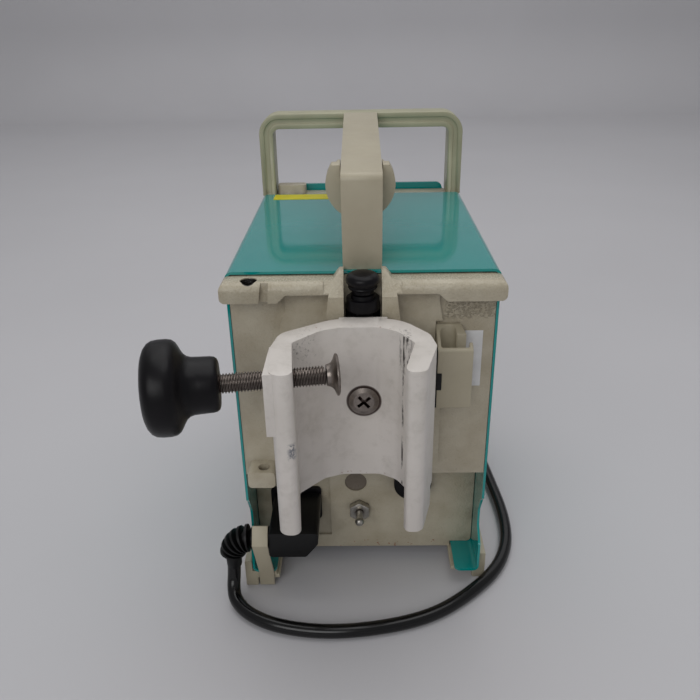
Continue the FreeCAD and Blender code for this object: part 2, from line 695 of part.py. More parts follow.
def strain_relief():
    """Ribbed boot that leaves the plug to the left and bends down to the floor."""
    start = size.inlet_x - PLUG_LEFT
    top = size.inlet_z - 1
    core = 5.6
    bend_x = -74.6
    elbow = doc.addObject("Part::Torus", "boot_elbow")
    elbow.Radius1 = BOOT_BEND
    elbow.Radius2 = core
    elbow.Angle3 = 90
    elbow.Placement = Placement(Vector(bend_x, size.boot_y, top - BOOT_BEND),
                                Rotation(Vector(-1, 0, 0), Vector(0, 0, 1), Vector(0, 1, 0), "XYZ"))
    pieces = [elbow, rod("boot_root", "x", ("boot_y", "inlet_z - 1"), (str(bend_x), str(start)), "7.4"),
              rod("boot_tail", "z", (str(bend_x - BOOT_BEND), "boot_y"),
                  (str(top - BOOT_BEND - 10), str(top - BOOT_BEND)), str(core))]
    count = 5
    for i in range(count):
        angle = math.radians(8 + 19 * i)
        middle = Vector(bend_x - BOOT_BEND * math.sin(angle), size.boot_y,
                        top - BOOT_BEND + BOOT_BEND * math.cos(angle))
        way = Vector(-math.cos(angle), 0, -math.sin(angle))
        rib = doc.addObject("Part::Cylinder", f"boot_rib_{i}")
        rib.Radius = 8.6 - 0.35 * i
        rib.Height = 2.6
        rib.Placement = Placement(middle - way * 1.3, Rotation(Vector(0, 0, 1), way))
        pieces.append(rib)
    return keep("strain_relief", fuse("strain_relief", *pieces))


def plug_strap():
    """Bent bracket that hooks over the boot and keeps the plug from working loose."""
    line = [(-90.6, 2), (-90.6, 13), (-107.3, 49.5), (-100.5, 60.5)]
    strap = body("plug_strap")
    pad(strap, "x", ("-71.8", "-61.8"), strip(line[::-1], 1.5))
    return keep("plug_strap", strap)


def ground_stud():
    way = ("-3.7", "43")
    shank = rod("stud_shank", "y", way, ("-74", "-52"), "2.4")
    tip = ball("stud_ball", ("-3.7", "-75.4", "43"), "3.1")
    return keep("ground_stud", fuse("ground_stud", shank, tip))


def ground_nut():
    corners = [math.radians(60 * i + 30) for i in range(6)]
    hexagon = [(-3.7 + 7.5 * math.cos(a), 43 + 7.5 * math.sin(a)) for a in corners]
    nut = body("ground_nut")
    pad(nut, "y", ("-66", "-61"), hexagon, circles=[(-3.7, 43, 2.4)])
    return keep("ground_nut", nut)


def call_socket():
    way = ("32", "68")
    rim = rod("socket_rim", "y", way, ("-69", "-61"), "12.4")
    barrel = rod("socket_barrel", "y", way, ("-61", "-46"), "7.4")
    bore = rod("socket_bore", "y", way, ("-70", "-52"), "6")
    pins = [rod(f"socket_pin_{i}", "y", (str(32 + dx), str(68 + dz)), ("-60", "-52"), "0.9")
            for i, (dx, dz) in enumerate(((-2.6, 1.5), (2.6, 1.5), (0, -3)))]
    hollow = cut("socket_shell", fuse("socket_solid", rim, barrel), bore)
    return keep("call_socket", fuse("call_socket", hollow, *pins))


# ---------------------------------------------------------------- mains cord
CORD_ROUTE = [
    (-87, -95, 24.5), (-87.4, -95.8, 17), (-87.8, -99.9, 10.4), (-86, -107.6, 5.6), (-76, -119, 4.5),
    (-56, -129.5, 4.5), (-24, -134.5, 4.5), (12, -130.5, 4.5), (43, -121, 4.5), (68, -103, 4.5),
    (90.5, -80, 4.5), (102.5, -53, 4.5), (105.5, -20, 4.5), (102.5, 20, 4.5), (99, 62, 4.5),
    (100.5, 104, 4.5), (101.5, 146, 4.5), (97, 184, 4.5), (89.5, 214, 4.5), (84.5, 240, 4.5),
]
COIL_CENTRE = (27, 252)
COIL_MIDDLE = 50
COIL_WIDTH = 27
COIL_HEIGHT = 18


def cord_edges(route):
    """Straight runs joined by the largest tangent arcs that the runs leave room for."""
    points = [Vector(*p) for p in route]
    edges = []
    radii = []
    start = points[0]
    for before, here, after in zip(points, points[1:], points[2:]):
        back = before - here
        ahead = after - here
        reach = 0.45 * min(back.Length, ahead.Length)
        turn = math.pi - back.getAngle(ahead)
        radius = reach / math.tan(turn / 2)
        back.normalize()
        ahead.normalize()
        centre = here + (back + ahead).normalize() * math.hypot(radius, reach)
        middle = centre + (here - centre).normalize() * radius
        first, last = here + back * reach, here + ahead * reach
        edges.append(Part.LineSegment(start, first).toShape())
        edges.append(Part.Arc(first, middle, last).toShape())
        radii.append(radius)
        start = last
    edges.append(Part.LineSegment(start, points[-1]).toShape())
    return edges, radii


def mains_cord():
    edges, radii = cord_edges(CORD_ROUTE)
    path = Part.Wire(edges)
    first = (Vector(*CORD_ROUTE[1]) - Vector(*CORD_ROUTE[0])).normalize()
    section = Part.Wire([Part.Circle(Vector(*CORD_ROUTE[0]), first, size.cord_radius).toShape()])
    tube = path.makePipeShell([section], True, False)
    expected = math.pi * size.cord_radius ** 2 * path.Length
    print("cord radii", [round(r, 1) for r in radii], "length", round(path.Length, 1))
    print("cord volume", round(tube.Volume, 1), "section times length", round(expected, 1))
    cord = doc.addObject("Part::Feature", "mains_cord")
    cord.Shape = tube
    return keep("mains_cord", cord)


def cord_coil():
    centre = tuple(str(v) for v in COIL_CENTRE)
    outer = rod("coil_outer", "z", centre, ("0.1", str(COIL_HEIGHT)), str(COIL_MIDDLE + COIL_WIDTH / 2))
    inner = rod("coil_inner", "z", centre, ("-1", "30"), str(COIL_MIDDLE - COIL_WIDTH / 2))
    return keep("cord_coil", cut("cord_coil", outer, inner))


def mains_plug():
    """Three-pin mains plug on the floor, its tapered boot reaching the coil."""
    middle = COIL_CENTRE[0] - COIL_MIDDLE - 9
    rear = 160
    grip = body("mains_plug_grip")
    pad(grip, "z", ("0.1", "24"),
        [(middle - 18, rear, 3), (middle + 18, rear, 3), (middle + 18, rear + 14, 6),
         (middle + 9, rear + 34, 5), (middle - 9, rear + 34, 5), (middle - 18, rear + 14, 6)])
    boot = cone("mains_plug_boot", "y", (str(middle), "8"), (str(rear + 33), "218.5"), "7", "5")
    blades = [box(f"mains_blade_{i}", (str(middle + x - 0.8), str(middle + x + 0.8)),
                  (str(rear - 17), str(rear)), ("12", "18.5")) for i, x in enumerate((-6.4, 6.4))]
    earth = rod("mains_earth", "y", (str(middle), "5.5"), (str(rear - 20), str(rear)), "2.4")
    return keep("mains_plug", fuse("mains_plug", grip, boot, earth, *blades))


# ---------------------------------------------------------------- pump head
FACE = "cover_depth / 2 + front_depth + fascia_thick"
HEAD = ("head_x", "head_z")


def head_plate():
    """Moulded plate behind the rotor with the hinge posts and the latch post."""
    x, z = size.head_x, size.head_z
    plate = body("head_plate_blank")
    pad(plate, "y", (FACE, FACE + " + 4"), rectangle(x - 39, x + 39, z - 42, z + 42, 6),
        circles=[(x, z, 11)])
    ears = [rectangle(x - 38, x - 33, z + dz - 4, z + dz + 4, 1) for dz in (-30, 30)]
    pad(plate, "y", (FACE + " + 4", FACE + " + 25.8"), *ears)
    pad(plate, "y", (FACE + " + 4", FACE + " + 16"), rectangle(x + 34, x + 37.5, z - 6, z + 6, 1))
    bore = rod("head_plate_bore", "z", ("head_x - 35.5", FACE + " + 22"), ("head_z - 40", "head_z + 40"),
               "1.5")
    return keep("head_plate", cut("head_plate", plate, bore))


def pressure_track():
    """Curved track below the rotor that the tube is squeezed against."""
    x, z, inner = size.head_x, size.head_z, size.track_radius
    track = body("pressure_track")
    pad(track, "y", (FACE + " + 4", FACE + " + 17.6"), rectangle(x - 29.6, x + 32, z - 36, z + 4, 1.5))
    pocket(track, "y", (FACE + " + 3", FACE + " + 21"), circles=[(x, z, inner)])
    pocket(track, "y", (FACE + " + 3", FACE + " + 21"), rectangle(x - inner, x + inner, z, z + 6))
    return keep("pressure_track", track)


def rotor():
    """Two discs on a hub that carry the roller pins."""
    rear = rod("rotor_rear", "y", HEAD, (FACE + " + 4.5", FACE + " + 6.5"), "roller_orbit + 3.5")
    front = rod("rotor_front", "y", HEAD, (FACE + " + 18", FACE + " + 20"), "roller_orbit + 3.5")
    hub = rod("rotor_hub", "y", HEAD, (FACE + " + 6.5", FACE + " + 18"), "8.5")
    bore = rod("rotor_bore", "y", HEAD, (FACE, FACE + " + 30"), "shaft_radius")
    holes = [rod(f"rotor_hole_{i}", "y", across, (FACE, FACE + " + 30"), "2")
             for i, across in enumerate(roller_spots())]
    return keep("rotor", cut("rotor", fuse("rotor_solid", rear, front, hub), bore, *holes))


def roller_spots():
    """The three rollers' axes, a third of a turn apart."""
    return [(f"head_x + roller_orbit * cos({90 + 120 * i})", f"head_z + roller_orbit * sin({90 + 120 * i})")
            for i in range(3)]


def rollers():
    for i, across in enumerate(roller_spots()):
        wheel = rod(f"roller_wheel_{i}", "y", across, (FACE + " + 6.9", FACE + " + 17.6"), "roller_radius")
        bore = rod(f"roller_bore_{i}", "y", across, (FACE, FACE + " + 30"), "2.06")
        keep(f"roller_{i + 1}", cut(f"roller_{i + 1}", wheel, bore))


def roller_pins():
    pins = [rod(f"roller_pin_{i}", "y", across, (FACE + " + 4.5", FACE + " + 20.8"), "2")
            for i, across in enumerate(roller_spots())]
    return keep("roller_pins", group("roller_pins", *pins))


def drive_shaft():
    shaft = rod("shaft_rod", "y", HEAD, ("63.2", FACE + " + 20"), "shaft_radius")
    cap = rod("shaft_cap", "y", HEAD, (FACE + " + 20", FACE + " + 22"), "6")
    return keep("drive_shaft", fuse("drive_shaft", shaft, cap))


def shaft_bearing():
    """Ball bearing of the shaft, pressed in the front casting."""
    outer = rod("bearing_outer", "y", HEAD, ("cover_depth / 2 + front_depth - 5", FACE), "11")
    bore = rod("bearing_bore", "y", HEAD, ("90", "130"), "shaft_radius + 0.05")
    return keep("shaft_bearing", cut("shaft_bearing", outer, bore))


def pump_door():
    """Hinged door over the pump head, with a window in front of the rotor."""
    x, z = size.head_x, size.head_z
    door = body("door_shell")
    pad(door, "y", (FACE + " + 27", FACE + " + 30"), rectangle(x - 39, x + 39, z - 42, z + 42, 6))
    pad(door, "y", (FACE + " + 5", FACE + " + 28"),
        rectangle(x - 33, x + 39, z + 38, z + 42, 1), rectangle(x - 33, x + 39, z - 42, z - 38, 1))
    pocket(door, "y", (FACE + " + 26", FACE + " + 31"), rectangle(x - 22, x + 22, z - 22, z + 22, 5),
           circles=[(x + 33, z, 4.3)])
    pad(door, "y", (FACE + " + 18", FACE + " + 27"), rectangle(x - 38, x - 33, z - 25.6, z + 25.6, 1))
    bore = rod("door_bore", "z", ("head_x - 35.5", FACE + " + 22"), ("head_z - 40", "head_z + 40"), "1.56")
    return keep("pump_door", cut("pump_door", door, bore))


def door_window():
    x, z = size.head_x, size.head_z
    pane = body("door_window")
    pad(pane, "y", (FACE + " + 27.5", FACE + " + 29.5"), rectangle(x - 22, x + 22, z - 22, z + 22, 5))
    return keep("door_window", pane)


def hinge_pin():
    pin = rod("hinge_pin", "z", ("head_x - 35.5", FACE + " + 22"), ("head_z - 34", "head_z + 34"), "1.5")
    return keep("hinge_pin", pin)


def door_latch():
    """Quarter-turn knob in the door whose tongue reaches behind the latch post."""
    across = ("head_x + 33", "head_z")
    grip = rod("latch_grip", "y", across, (FACE + " + 30.3", FACE + " + 33"), "7")
    lever = box("latch_lever", ("head_x + 31.2", "head_x + 34.8"), (FACE + " + 33", FACE + " + 38"),
                ("head_z - 7", "head_z + 7"))
    stem = rod("latch_stem", "y", across, (FACE + " + 20", FACE + " + 30.3"), "4.24")
    tongue = box("latch_tongue", ("head_x + 31", "head_x + 35"), (FACE + " + 18", FACE + " + 20"),
                 ("head_z - 4", "head_z + 10"))
    return keep("door_latch", fuse("door_latch", grip, lever, stem, tongue))


# ---------------------------------------------------------------- front panel
def display_window():
    pane = body("display_window")
    pad(pane, "y", ("cover_depth / 2 + front_depth + 0.5", FACE), rectangle(-44, 44, 148, 206, 3))
    return keep("display_window", pane)


def display_module():
    glass = box("display_glass", ("-40", "40"), ("104", "cover_depth / 2 + front_depth + 0.5"),
                ("151", "203"))
    board = box("display_board", ("-46", "46"), ("101", "104"), ("144", "210"))
    return keep("display_module", fuse("display_module", glass, board))


def panel_keys():
    for name, (x, z) in KEYS.items():
        cap = body(name)
        pad(cap, "y", ("cover_depth / 2 + front_depth + 1.4", FACE + " + 2.2"),
            rectangle(x - 7, x + 7, z - 5, z + 5, 1.8))
        keep(name, cap)


# ---------------------------------------------------------------- inside
def gear_outline(teeth, module, phase, centre):
    """Straight-flanked teeth, thinner than their gaps so that a pair runs free."""
    pitch = teeth * module / 2
    root, tip = pitch - 1.15 * module, pitch + 0.75 * module
    points = []
    for tooth in range(teeth):
        middle = phase + 2 * math.pi * tooth / teeth
        step = 2 * math.pi / teeth
        for radius, share in ((root, -0.21), (tip, -0.10), (tip, 0.10), (root, 0.21)):
            angle = middle + share * step
            points.append((centre[0] + radius * math.cos(angle), centre[1] + radius * math.sin(angle)))
    return points


def motor_spot():
    """The motor's axis: beside the drive shaft, one gear centre distance away."""
    distance = (size.gear_teeth + size.pinion_teeth) * size.gear_module / 2 + 0.15
    return size.head_x + distance, size.head_z


def drive_gear():
    x, z = size.head_x, size.head_z
    wheel = body("drive_gear")
    outline = gear_outline(int(size.gear_teeth), size.gear_module, 0, (x, z))
    pad(wheel, "y", ("70", "76"), outline, circles=[(x, z, size.shaft_radius)])
    holes = [(x + 14 * math.cos(math.radians(a)), z + 14 * math.sin(math.radians(a)), 4)
             for a in range(30, 390, 60)]
    pocket(wheel, "y", ("69", "77"), circles=holes)
    return keep("drive_gear", wheel)


def motor_pinion():
    x, z = motor_spot()
    wheel = body("pinion_wheel")
    teeth = int(size.pinion_teeth)
    outline = gear_outline(teeth, size.gear_module, math.pi / teeth, (x, z))
    pad(wheel, "y", ("69", "77"), outline)
    spindle = rod("pinion_spindle", "y", (str(x), str(z)), ("58.4", "69"), "2")
    return keep("motor_pinion", fuse("motor_pinion", wheel, spindle))


def gear_bracket():
    """Plate on feet that holds the motor and the shaft's rear end."""
    x, z = size.head_x, size.head_z
    mx, mz = motor_spot()
    plate = body("gear_bracket")
    pad(plate, "y", ("60", "63"), rectangle(x - 30, mx + 28, size.base_top, z + 32, 4),
        circles=[(mx, mz, 2.6)])
    pad(plate, "y", ("40", "60"), rectangle(x - 30, x - 22, size.base_top, size.base_top + 3),
        rectangle(mx + 20, mx + 28, size.base_top, size.base_top + 3))
    pad(plate, "y", ("63", "66"), circles=[(x, z, 9)])
    pocket(plate, "y", ("62.5", "67"), circles=[(x, z, size.shaft_radius + 0.06)])
    return keep("gear_bracket", plate)


def gear_motor():
    x, z = motor_spot()
    across = (str(x), str(z))
    can = rod("motor_can", "y", across, ("2", "56"), "17.5")
    nose = rod("motor_nose", "y", across, ("56", "60"), "9")
    tail = rod("motor_tail", "y", across, ("-3", "2"), "6")
    bore = rod("motor_bore", "y", across, ("58", "61"), "2.6")
    return keep("gear_motor", cut("gear_motor", fuse("motor_solid", can, nose, tail), bore))


def main_board():
    board = box("board_sheet", ("-70", "-68.4"), ("-40", "80"), ("30", "190"))
    blocks = [
        box("board_chip", ("-68.4", "-65.4"), ("-10", "14"), ("120", "144")),
        box("board_relay", ("-68.4", "-56"), ("-34", "-18"), ("60", "84")),
        box("board_header", ("-68.4", "-60"), ("40", "72"), ("150", "158")),
        box("board_driver", ("-68.4", "-62"), ("30", "50"), ("70", "90")),
    ]
    caps = [rod(f"board_capacitor_{i}", "x", (str(-28 + 14 * i), "40"), ("-68.4", "-54"), "5")
            for i in range(3)]
    legs = [rod(f"board_leg_{i}", "x", across, ("-74.5", "-70"), "2.5")
            for i, across in enumerate((("-34", "36"), ("-34", "184"), ("74", "36"), ("74", "184")))]
    return keep("main_board", fuse("main_board", board, *blocks, *caps, *legs))


def power_supply():
    case = body("power_supply")
    pad(case, "z", ("base_top", "base_top + 46"), rectangle(-52, 50, -36, 24, 2))
    slots = [rectangle(x - 1.2, x + 1.2, -24, 12, 1.1) for x in range(-40, 45, 8)]
    pocket(case, "z", ("base_top + 44.5", "base_top + 47"), *slots)
    return keep("power_supply", case)


# ---------------------------------------------------------------- build and write
def build():
    cover_shell()
    rear_casting()
    base_plate()
    foot_rail("left", -1)
    foot_rail("right", 1)
    front_casting()
    front_fascia()
    front_handle()
    top_handle()
    handle_disc()
    clamp_jaw()
    swivel_plate()
    swivel_washer()
    pivot_screw()
    clamp_screw()
    clamp_pad()
    clamp_knob()
    plunger_housing()
    lock_pin()
    pull_knob()
    sensor_pocket()
    pocket_bumper()
    rating_label()
    cover_label()
    inlet_socket()
    inlet_pins()
    angle_plug()
    strain_relief()
    plug_strap()
    ground_stud()
    ground_nut()
    call_socket()
    mains_cord()
    cord_coil()
    mains_plug()
    head_plate()
    pressure_track()
    rotor()
    rollers()
    roller_pins()
    drive_shaft()
    shaft_bearing()
    pump_door()
    door_window()
    hinge_pin()
    door_latch()
    display_window()
    display_module()
    panel_keys()
    drive_gear()
    motor_pinion()
    gear_bracket()
    gear_motor()
    main_board()
    power_supply()


def check_and_write():
    doc.recompute()
    troubled = [thing.Name for thing in doc.Objects
                if any(state in ("Invalid", "Error") for state in thing.State)]
    if troubled:
        raise RuntimeError("failed objects: " + ", ".join(troubled))
    for node in nodes:
        shape = node.Shape
        if shape.isNull() or not shape.isValid() or not shape.Solids:
            raise RuntimeError("bad shape: " + node.Label)
    os.makedirs("parts", exist_ok=True)
    for node in nodes:
        node.Shape.exportStep(f"parts/{node.Label}.step")
    print(len(nodes), "nodes written")


build()
check_and_write()
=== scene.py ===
import json
import math

import bmesh
import bpy
from mathutils import Matrix, Vector

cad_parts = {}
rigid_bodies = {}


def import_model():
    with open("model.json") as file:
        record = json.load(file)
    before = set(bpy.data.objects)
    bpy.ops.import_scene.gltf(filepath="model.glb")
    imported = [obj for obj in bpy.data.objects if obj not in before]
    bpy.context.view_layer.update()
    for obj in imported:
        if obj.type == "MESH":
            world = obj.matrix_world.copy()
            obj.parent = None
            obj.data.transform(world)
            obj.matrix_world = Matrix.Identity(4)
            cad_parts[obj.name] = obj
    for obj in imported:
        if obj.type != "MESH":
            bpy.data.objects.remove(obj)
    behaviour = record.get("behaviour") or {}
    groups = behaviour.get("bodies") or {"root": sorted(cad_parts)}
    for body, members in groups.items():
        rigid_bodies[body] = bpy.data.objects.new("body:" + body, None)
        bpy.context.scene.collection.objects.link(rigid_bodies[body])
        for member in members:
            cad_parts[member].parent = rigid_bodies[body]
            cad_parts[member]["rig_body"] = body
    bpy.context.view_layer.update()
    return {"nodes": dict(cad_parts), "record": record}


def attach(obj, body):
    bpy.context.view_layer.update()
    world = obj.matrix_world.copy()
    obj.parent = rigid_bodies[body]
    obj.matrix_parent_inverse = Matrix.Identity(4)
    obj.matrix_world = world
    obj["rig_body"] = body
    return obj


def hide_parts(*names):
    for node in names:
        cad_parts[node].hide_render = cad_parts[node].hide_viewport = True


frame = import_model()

NODES = frame["nodes"]
MM = 0.001


# ---------------------------------------------------------------- camera
def aim_camera():
    """Above and behind the pump, looking down at its rear."""
    tilt, yaw, roll = (math.radians(v) for v in (25.74, -1.09, -1.12))
    ahead = Vector((math.sin(yaw) * math.cos(tilt), math.cos(yaw) * math.cos(tilt), -math.sin(tilt)))
    right = ahead.cross(Vector((0, 0, 1))).normalized()
    up = right.cross(ahead)
    turned_right = math.cos(roll) * right + math.sin(roll) * up
    turned_up = math.cos(roll) * up - math.sin(roll) * right
    data = bpy.data.cameras.new("camera")
    data.sensor_width = 36
    data.lens = 36.77
    camera = bpy.data.objects.new("camera", data)
    place = Matrix((turned_right, turned_up, -ahead)).transposed().to_4x4()
    place.translation = Vector((-0.62, -459.14, 356.46)) * MM
    camera.matrix_world = place
    bpy.context.scene.collection.objects.link(camera)
    bpy.context.scene.camera = camera


aim_camera()

# ---------------------------------------------------------------- mains cord
CORD_ROUTE = [
    (-87, -95, 24.5), (-87.4, -95.8, 17), (-87.8, -99.9, 10.4), (-86, -107.6, 5.6), (-76, -119, 4.5),
    (-56, -129.5, 4.5), (-24, -134.5, 4.5), (12, -130.5, 4.5), (43, -121, 4.5), (68, -103, 4.5),
    (90.5, -80, 4.5), (102.5, -53, 4.5), (105.5, -20, 4.5), (102.5, 20, 4.5), (99, 62, 4.5),
    (100.5, 104, 4.5), (101.5, 146, 4.5), (97, 184, 4.5), (89.5, 214, 4.5),
]
CORD_WIDTH = 8.8
COIL_CENTRE = (27, 252)
TURN_POINTS = 14


def coil_points():
    """Six turns: three inward on the floor, three outward on top, then off to the plug."""
    points = []
    layers = ((59.2, 41.2, 4.5), (41.2, 59.2, 13.3))
    start = -8
    for number, (first, last, height) in enumerate(layers):
        steps = 3 * TURN_POINTS
        for i in range(steps):
            share = i / steps
            angle = math.radians(start + 360 * (3 * number + 3 * share))
            radius = (first + (last - first) * share) * 1.012
            lift = height if number == 0 or share > 0.12 else 4.5 + (height - 4.5) * share / 0.12
            points.append((COIL_CENTRE[0] + radius * math.cos(angle),
                           COIL_CENTRE[1] + radius * math.sin(angle), lift))
    for angle in range(-8, 160, 24):
        turned = math.radians(angle)
        points.append((COIL_CENTRE[0] + 59.4 * math.cos(turned), COIL_CENTRE[1] + 59.4 * math.sin(turned),
                       13.3))
    points += [(-32, 256, 13), (-32, 243, 11.4), (-32, 231, 9.2), (-32, 222, 8.2), (-32, 214, 8)]
    return points


def make_cord():
    """The mains cord as one smooth line through its route and its coil."""
    curve = bpy.data.curves.new("mains_lead", "CURVE")
    curve.dimensions = "3D"
    curve.bevel_depth = 1
    curve.bevel_resolution = 6
    curve.resolution_u = 8
    curve.use_fill_caps = True
    spline = curve.splines.new("NURBS")
    points = CORD_ROUTE + coil_points()
    spline.points.add(len(points) - 1)
    for point, place in zip(spline.points, points):
        point.co = (*(Vector(place) * MM), 1)
        point.radius = CORD_WIDTH / 2 * MM
    spline.order_u = 3
    spline.use_endpoint_u = True
    lead = bpy.data.objects.new("mains_lead", curve)
    bpy.context.scene.collection.objects.link(lead)
    return lead


mains_lead = make_cord()
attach(mains_lead, "housing")
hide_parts("mains_cord", "cord_coil")

# ---------------------------------------------------------------- node helpers
class Graph:
    """A material's node tree with short names for what the finishes need."""

    def __init__(self, name):
        self.material = bpy.data.materials.new(name)
        self.material.use_nodes = True
        self.tree = self.material.node_tree
        self.shader = self.tree.nodes["Principled BSDF"]
        self.place = self.add("ShaderNodeTexCoord").outputs["Object"]

    def add(self, kind, **settings):
        """A new node with the given settings."""
        node = self.tree.nodes.new(kind)
        for key, value in settings.items():
            setattr(node, key, value)
        return node

    def link(self, output, socket):
        self.tree.links.new(output, socket)

    def noise(self, scale, detail=3, rough=0.55, stretch=None):
        """A noise output, drawn out along the axes if asked."""
        node = self.add("ShaderNodeTexNoise")
        node.inputs["Scale"].default_value = scale
        node.inputs["Detail"].default_value = detail
        node.inputs["Roughness"].default_value = rough
        self.link(self.stretched(stretch), node.inputs["Vector"])
        return node.outputs["Fac"]

    def stretched(self, stretch):
        """The place, scaled along each axis."""
        if stretch is None:
            return self.place
        mapping = self.add("ShaderNodeMapping")
        mapping.inputs["Scale"].default_value = stretch
        self.link(self.place, mapping.inputs["Vector"])
        return mapping.outputs["Vector"]

    def ramp(self, factor, low, high, start=0.0, end=1.0):
        """Goes from start to end while the factor goes from low to high."""
        node = self.add("ShaderNodeMapRange", clamp=True)
        for socket, value in zip(("From Min", "From Max", "To Min", "To Max"), (low, high, start, end)):
            node.inputs[socket].default_value = value
        self.link(factor, node.inputs["Value"])
        return node.outputs["Result"]

    def mix(self, factor, first, second):
        """Colours or colour outputs mixed by a factor output."""
        node = self.add("ShaderNodeMix", data_type="RGBA")
        self.link(factor, node.inputs["Factor"])
        for name, value in ((6, first), (7, second)):
            if isinstance(value, (tuple, list)):
                node.inputs[name].default_value = (*value[:3], 1)
            else:
                self.link(value, node.inputs[name])
        return node.outputs[2]

    def math(self, operation, first, second):
        """Arithmetic on two numbers or outputs."""
        node = self.add("ShaderNodeMath", operation=operation)
        for socket, value in zip(node.inputs, (first, second)):
            if isinstance(value, (int, float)):
                socket.default_value = value
            else:
                self.link(value, socket)
        return node.outputs[0]

    def bump(self, height, strength, distance, normal=None):
        """Relief from a height output, on top of an earlier one if given."""
        node = self.add("ShaderNodeBump")
        node.inputs["Strength"].default_value = strength
        node.inputs["Distance"].default_value = distance
        self.link(height, node.inputs["Height"])
        if normal is not None:
            self.link(normal, node.inputs["Normal"])
        return node.outputs["Normal"]

    def set(self, **values):
        """Set or link the shader's sockets by name."""
        for name, value in values.items():
            socket = self.shader.inputs[name.replace("_", " ")]
            if isinstance(value, bpy.types.NodeSocket):
                self.link(value, socket)
            elif isinstance(value, (tuple, list)):
                socket.default_value = (*value[:3], 1)
            else:
                socket.default_value = value

    def axes(self):
        """The place's X, Y and Z outputs."""
        node = self.add("ShaderNodeSeparateXYZ")
        self.link(self.place, node.inputs["Vector"])
        return node.outputs

    def between(self, output, low, high, soft=0.2):
        """1 where an output in metres lies between two limits in millimetres, with soft edges."""
        edge = soft * MM
        rise = self.ramp(output, low * MM - edge, low * MM + edge)
        fall = self.ramp(output, high * MM - edge, high * MM + edge, 1, 0)
        return self.math("MULTIPLY", rise, fall)

    def inside(self, *limits, soft=0.2):
        """1 in a block given by (axis, low, high) in millimetres."""
        axes = self.axes()
        shares = [self.between(axes[axis], low, high, soft) for axis, low, high in limits]
        total = shares[0]
        for share in shares[1:]:
            total = self.math("MULTIPLY", total, share)
        return total

    def round_spot(self, first, second, centre, radius, soft=0.2):
        """1 within a radius of a line along the third axis, in millimetres."""
        axes = self.axes()
        parts = []
        for axis, middle in ((first, centre[0]), (second, centre[1])):
            offset = self.math("SUBTRACT", axes[axis], middle * MM)
            parts.append(self.math("MULTIPLY", offset, offset))
        distance = self.math("SQRT", self.math("ADD", *parts), 0)
        return self.ramp(distance, (radius - soft) * MM, (radius + soft) * MM, 1, 0)

    def corner_shade(self, reach, low=0.35, high=0.9):
        """1 in corners and crevices, 0 on open faces, from ambient occlusion: a mask for painted shade."""
        node = self.add("ShaderNodeAmbientOcclusion", samples=4)
        node.inputs["Distance"].default_value = reach
        return self.ramp(node.outputs["AO"], low, high, 1, 0)


def srgb(red, green, blue):
    """Linear colour of a display colour given in 0-255."""
    return tuple(((v / 255) / 12.92) if v <= 10 else ((v / 255 + 0.055) / 1.055) ** 2.4
                 for v in (red, green, blue))


# ---------------------------------------------------------------- finishes
# Places of marks, in millimetres: the rod hole (X, Y), the dark disc below the clamp (X, Z) and the pivot
# screw (X, Z).
ROD_HOLE = (-61.6, -96.2)
ROUND_DISC = (-6, 65)
PIVOT = (0, 161.8)


def wrinkle_paint(name, colour, dark):
    """Warm grey textured enamel on the castings: fine wrinkles that sparkle, painted shade with grime in
    corners.
    """
    g = Graph(name)
    tone = g.mix(g.ramp(g.noise(60, 4), 0.35, 0.7), colour, dark)
    # Painted shade: corners and crevices darkened from ambient occlusion, in patches like grime.
    corner_shade_and_grime = g.math("MULTIPLY", g.corner_shade(0.012), g.ramp(g.noise(140, 4), 0.35, 0.65))
    tone = g.mix(g.math("MULTIPLY", corner_shade_and_grime, 0.5), tone, srgb(96, 82, 62))
    # Painted shadow of the bar's overhang: the band under the bar has its pits darkened and also raised as
    # relief.
    bar_shadow_band = g.inside((0, 46.5, 80), (1, -90.5, -88), (2, 197.4, 212.8), soft=1.2)
    coarse = g.noise(760, 3, 0.55)
    shaded_pits = g.math("MULTIPLY", bar_shadow_band, g.ramp(coarse, 0.46, 0.62))
    tone = g.mix(g.math("MULTIPLY", shaded_pits, 0.4), tone, srgb(108, 98, 82))
    # Painted shade: the inside of the rod hole darkened nearly to black.
    rod_hole_shade = g.math("MULTIPLY", g.round_spot(0, 1, ROD_HOLE, 4.9), g.inside((2, 200, 223.2)))
    tone = g.mix(rod_hole_shade, tone, srgb(30, 27, 25))
    # A round disc on the wall below the clamp, painted darker.
    dark_disc = g.math("MULTIPLY", g.round_spot(0, 2, ROUND_DISC, 7.5), g.inside((1, -60.6, -59)))
    tone = g.mix(dark_disc, tone, srgb(112, 102, 90))
    rust = g.math("MULTIPLY", g.inside((1, -62, -58), (2, 9, 15)), g.ramp(g.noise(300, 3), 0.64, 0.68))
    tone = g.mix(rust, tone, srgb(140, 76, 48))
    fine = g.noise(760, 3, 0.6)
    bump = g.bump(fine, 0.75, 0.0005)
    bump = g.bump(g.noise(300, 2), 0.35, 0.0007, bump)
    bump = g.bump(shaded_pits, 0.6, 0.0007, bump)
    edge = g.inside((1, -112, -88.6), (2, 216, 228), soft=2)
    bump = g.bump(g.math("MULTIPLY", edge, g.noise(520, 2, 0.5)), 0.4, 0.0008, bump)
    shine = g.math("SUBTRACT", g.ramp(fine, 0.3, 0.7, 0.24, 0.5), g.math("MULTIPLY", edge, 0.12))
    g.set(Base_Color=tone, Roughness=shine, Normal=bump)
    return g.material


